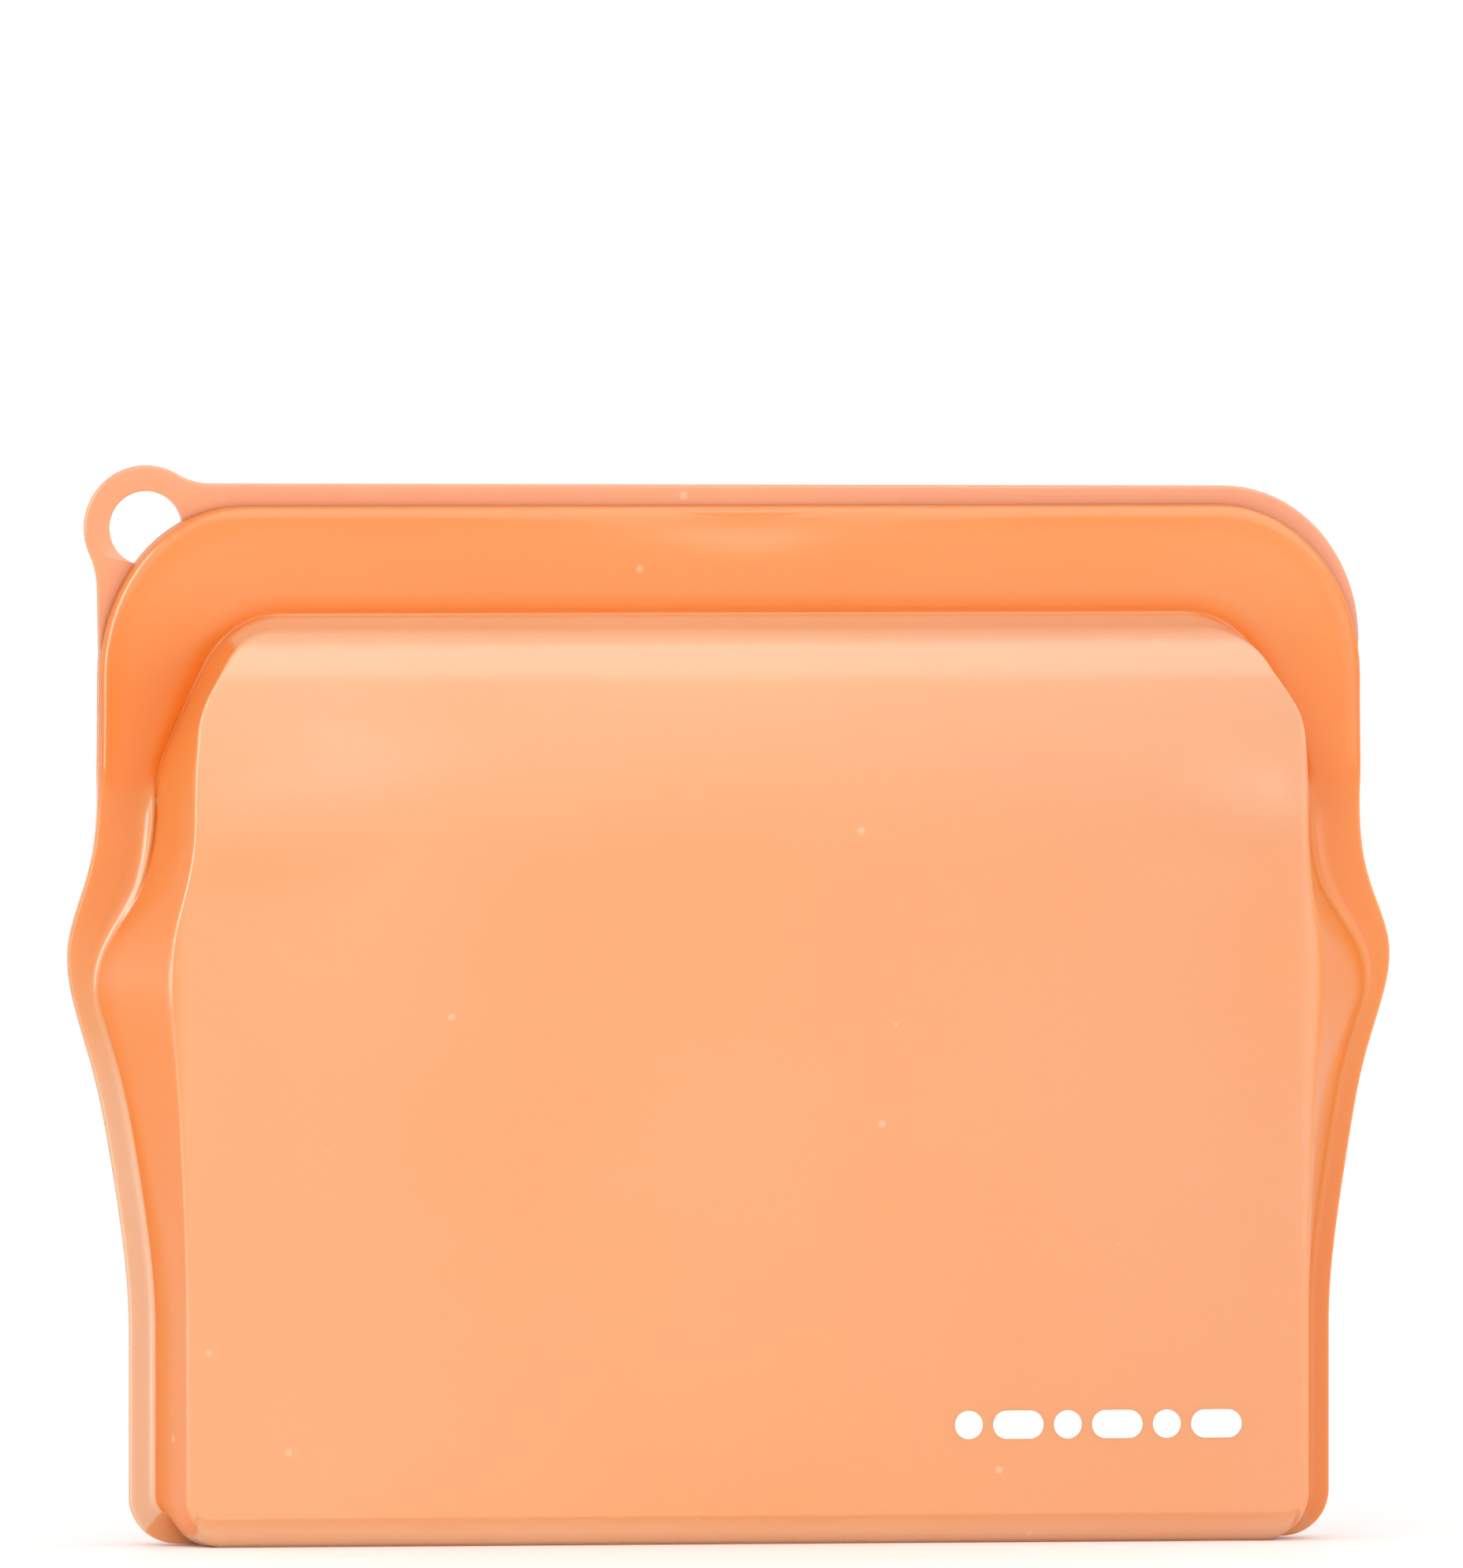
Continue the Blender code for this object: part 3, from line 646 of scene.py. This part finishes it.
outer, inner = sealEdges()
frontBand = band("frontSealBand", outer, inner,
                 flatSection(seal["front"], -seal["face"], seal["edgeRound"], seal["track"]))
dress(frontBand, sealSilicone, "seal_silicone", "front_seal_band")
foldWith(frontBand)
backBand = band("backSealBand", outer, inner, flatSection(seal["face"], seal["back"], seal["edgeRound"]))
dress(backBand, sealSilicone, "seal_silicone", "back_seal_band")
foldWith(backBand)
middle = [((a[0] + b[0]) / 2, (a[1] + b[1]) / 2) for a, b in zip(outer, inner)][1:-1]
ribEdges = ([], [])
for index, spot in enumerate(middle):
    before, after = Vector(middle[max(index - 1, 0)]), Vector(middle[min(index + 1, len(middle) - 1)])
    normal = (after - before).orthogonal().normalized() * seal["ribHalf"]
    ribEdges[0].append(Vector(spot) + normal)
    ribEdges[1].append(Vector(spot) - normal)
rib = band("pressRib", *ribEdges, flatSection(seal["ribTip"], seal["face"] + 0.0001, 0.0005))
dress(rib, sealSilicone, "seal_silicone", "press_rib")
foldWith(rib)

# pull rim behind the lips, which grows out into the hanging loop at the left corner
rim = {
    "low": 0.00005, "high": 0.0014, "topLeft": 0.1574, "topRight": 0.1568, "sunk": 0.0006,
    "corner": (0.0749, 0.1340), "cornerSize": (0.0206, 0.0228),
    "loop": (-0.0881, 0.1508), "loopRadius": 0.0093, "hole": 0.0055,
    "topFillet": 0.0100, "sideFillet": 0.0140, "sideFoot": 0.1310,
}


def lipEdge(angle, sunk):
    size = outline["lipCorner"]
    x = -outline["mouthHalf"] + size[0] + (size[0] - sunk) * math.cos(math.radians(angle))
    return x, outline["lipTop"] - size[1] + (size[1] - sunk) * math.sin(math.radians(angle))


def lipSpot(point, sunk):
    # a place measured from the left lip corner's centre, in radii
    size = outline["lipCorner"]
    x = (point[0] + outline["mouthHalf"] - size[0]) / (size[0] - sunk)
    z = (point[1] - outline["lipTop"] + size[1]) / (size[1] - sunk)
    return x, z


def rimEdges():
    sunk, radius, hole = rim["sunk"], rim["loopRadius"], rim["hole"]
    loopX, loopZ = rim["loop"]
    lipTop, lipHalf = outline["lipTop"] - sunk, outline["mouthHalf"]
    # right corner, from its foot up to the top
    outer = arc(rim["corner"], rim["cornerSize"], -9, 90, 22)
    outer = [(x, min(z, rim["topRight"])) for x, z in outer]
    inner = [(-x, z) for x, z in (lipEdge(mix(176, 90, s / 22), sunk) for s in range(23))]
    # along the top to the loop's fillet
    fillet = rim["topFillet"]
    rise = rim["topLeft"] - loopZ
    shift = math.sqrt((radius + fillet) ** 2 - (rise + fillet) ** 2)
    start = math.degrees(math.atan2(rise + fillet, shift))
    outer += run(outer[-1], (loopX + shift, rim["topLeft"]), 40)[1:]
    inner += run(inner[-1], (-lipHalf + outline["lipCorner"][0], lipTop), 40)[1:]
    # fillet, ring and fillet
    side = rim["sideFillet"]
    across = lipHalf - abs(loopX)
    fall = math.sqrt((radius + side) ** 2 - (across + side) ** 2)
    stop = 180.0 + math.degrees(math.atan2(fall, across + side))
    rimOfHole = arc((loopX, loopZ), (hole, hole), -45, 315, 360)
    angles = [step - 45 for step, spot in enumerate(rimOfHole) if math.hypot(*lipSpot(spot, sunk)) > 1.0]
    holeArc = arc((loopX, loopZ), (hole, hole), angles[0], angles[-1], 44)
    enter, leave = (math.degrees(math.atan2(*lipSpot(holeArc[end], sunk)[::-1])) for end in (0, -1))
    outer += arc((loopX + shift, rim["topLeft"] + fillet), (fillet, fillet), 270, 180 + start, 12)[1:]
    inner += [lipEdge(mix(90, enter, s / 12), sunk) for s in range(1, 13)]
    outer += arc((loopX, loopZ), (radius, radius), start, stop, 46)[1:]
    inner += holeArc + [holeArc[-1]]
    sideCenter = (-lipHalf - side, loopZ - fall)
    outer += arc(sideCenter, (side, side), stop - 180, 0, 12)[1:]
    inner += [lipEdge(mix(leave, 166, s / 12), sunk) for s in range(1, 13)]
    outer += run(outer[-1], (-lipHalf + 0.0002, rim["sideFoot"]), 6)[1:]
    inner += [lipEdge(mix(166, 175, s / 6), sunk) for s in range(1, 7)]
    return outer, inner


outer, inner = rimEdges()
pullRim = band("rimWithLoop", outer, inner, flatSection(rim["low"], rim["high"], 0.0005))
dress(pullRim, rimSilicone, "rim_silicone", "pull_rim", "hang_loop")
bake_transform(pullRim)

# printed row of dots and dashes
mark = {"left": 0.0310, "right": 0.0745, "middle": 0.0176, "height": 0.0042, "gap": 0.0016,
        "pairs": 3, "thick": 0.00012, "sunk": 0.00005}
bm = bmesh.new()
spare = mark["right"] - mark["left"] - mark["pairs"] * (mark["height"] + mark["gap"])
dash = (spare - (mark["pairs"] - 1) * mark["gap"]) / mark["pairs"]
start = mark["left"]
for length in [mark["height"], dash] * mark["pairs"]:
    made = bmesh.ops.create_circle(bm, cap_ends=True, segments=40, radius=mark["height"] / 2)
    stretch = (length - mark["height"]) / 2
    for vert in made["verts"]:
        x, z = vert.co.x, vert.co.y
        shift = stretch if x > 1e-6 else -stretch if x < -1e-6 else 0.0
        vert.co = (start + length / 2 + x + shift, 0.0, mark["middle"] + z)
    start += length + mark["gap"]
raised = bmesh.ops.extrude_face_region(bm, geom=bm.faces[:])["geom"]
top = {item for item in raised if isinstance(item, bmesh.types.BMVert)}
for vert in bm.verts:
    vert.co.y = -panelDepth(vert.co.x, vert.co.z) - (mark["thick"] if vert in top else -mark["sunk"])
bmesh.ops.recalc_face_normals(bm, faces=bm.faces)
printed = addMesh("printedMark", bm)
printed.data.shade_flat()
dress(printed, printInk, "white_ink", "printed_mark")
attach(printed, "bag_body")

camera = {"azimuth": -11.0, "elevation": 1.0, "distance": 6.0, "target": (0.0002, 0.0, 0.1126),
          "height": 0.2330}


def addCamera(settings):
    data = bpy.data.cameras.new("camera")
    data.sensor_width = 36.0
    data.lens = 36.0 * settings["distance"] / settings["height"]
    data.clip_end = 50.0
    turn, rise = math.radians(settings["azimuth"]), math.radians(settings["elevation"])
    toward = Vector((math.sin(turn) * math.cos(rise), -math.cos(turn) * math.cos(rise), math.sin(rise)))
    eye = bpy.data.objects.new("camera", data)
    eye.location = Vector(settings["target"]) + toward * settings["distance"]
    eye.rotation_euler = (-toward).to_track_quat("-Z", "Y").to_euler()
    bpy.context.scene.collection.objects.link(eye)
    bpy.context.scene.camera = eye


def addLight(name, place, size, power, diffuse):
    data = bpy.data.lights.new(name, "AREA")
    data.shape = "RECTANGLE"
    data.size, data.size_y = size
    data.energy = power
    lamp = bpy.data.objects.new(name, data)
    lamp.location = place
    lamp.rotation_euler = (Vector((0, 0, 0.09)) - Vector(place)).to_track_quat("-Z", "Y").to_euler()
    lamp.visible_diffuse = diffuse
    bpy.context.scene.collection.objects.link(lamp)


# place, size, power and whether it lights the silicone or only lays a highlight on it
lights = {
    "soft": ((-0.6, -1.2, 0.9), (0.9, 0.9), 5.0, True),
    "fill": ((0.9, -1.1, 0.12), (0.8, 0.6), 3.5, True),
    "overhead": ((0.42, -0.50, 1.00), (1.5, 1.5), 22.0, False),
    "left": ((-1.10, -0.25, 0.55), (0.45, 1.30), 27.0, False),
}

addCamera(camera)
world = bpy.data.worlds.new("studio")
bpy.context.scene.world = world
world.use_nodes = True
world.node_tree.nodes["Background"].inputs["Color"].default_value = (1, 1, 1, 1)
world.node_tree.nodes["Background"].inputs["Strength"].default_value = 1.0
for name, settings in lights.items():
    addLight(name, *settings)
bpy.context.scene.view_settings.view_transform = "Standard"
print("camera and", len(lights), "lights placed")

bm = bmesh.new()
bmesh.ops.create_grid(bm, x_segments=1, y_segments=1, size=30.0)
floor = addMesh("floor", bm)
floor.data.materials.append(ink("floorPaint", "#ffffff"))
